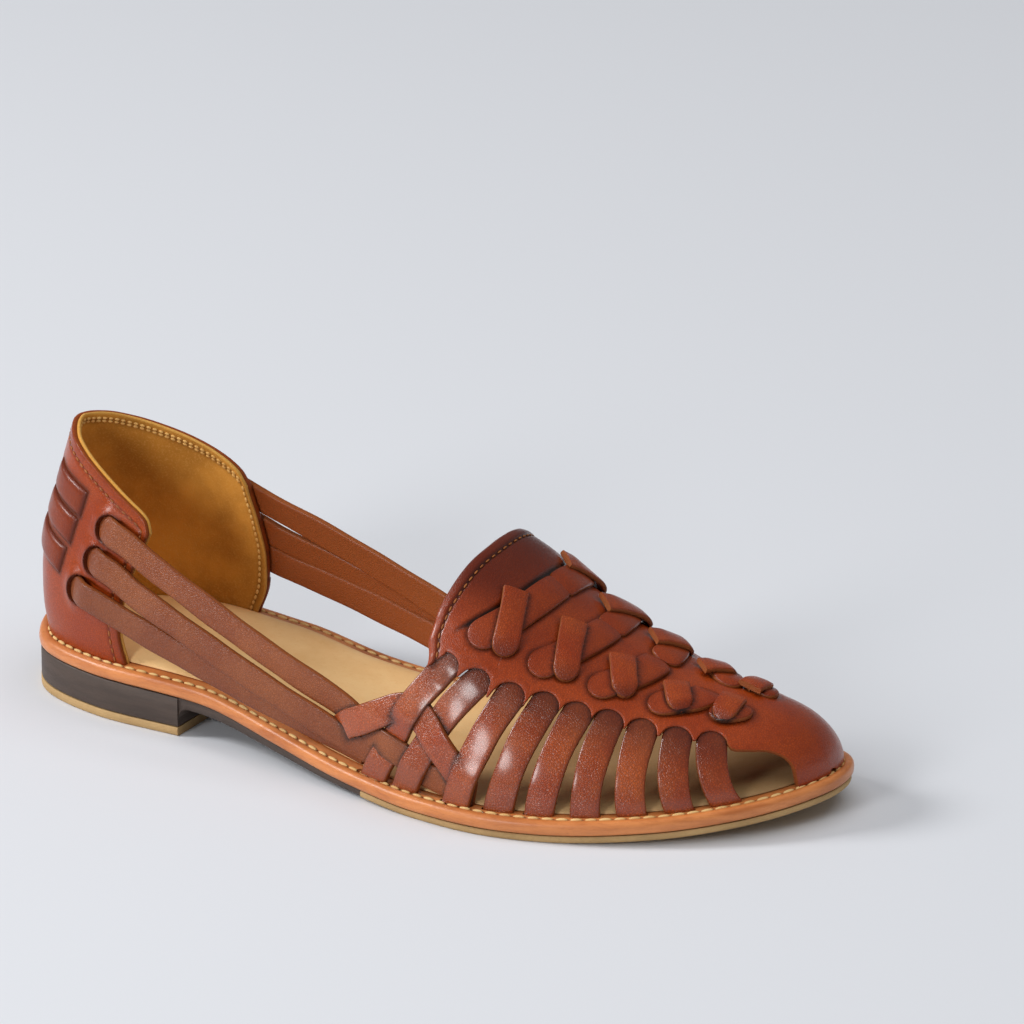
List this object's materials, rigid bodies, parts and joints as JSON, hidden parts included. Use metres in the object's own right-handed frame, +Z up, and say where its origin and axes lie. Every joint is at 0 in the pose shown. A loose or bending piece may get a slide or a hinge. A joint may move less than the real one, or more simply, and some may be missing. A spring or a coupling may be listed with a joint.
{
  "type": "slingback sandal",
  "caption": "Flat woven leather slingback sandal with a strip vamp, plaited sides, sling straps threaded into a heel counter, and a low stacked heel.",
  "frame": {"origin": "on the floor, under the middle of the shoe's box", "axes": "+X towards the toe, +Y towards the inner side of the foot, +Z up"},
  "size_m": [0.256, 0.0974, 0.0784],
  "materials": {
    "upper_leather": "cognac brown, satin, grained",
    "insole_leather": "natural tan, matt",
    "welt_leather": "caramel, burnished edge",
    "heel_stack": "dark brown, satin",
    "sole_rubber": "khaki, matt"
  },
  "bodies": {
    "root": {"upper": "upper_leather", "heel_counter": "upper_leather", "insole": "insole_leather", "welt": "welt_leather", "heel_block": "heel_stack", "outsole": "sole_rubber", "top_lift": "sole_rubber"}
  },
  "joints": []
}
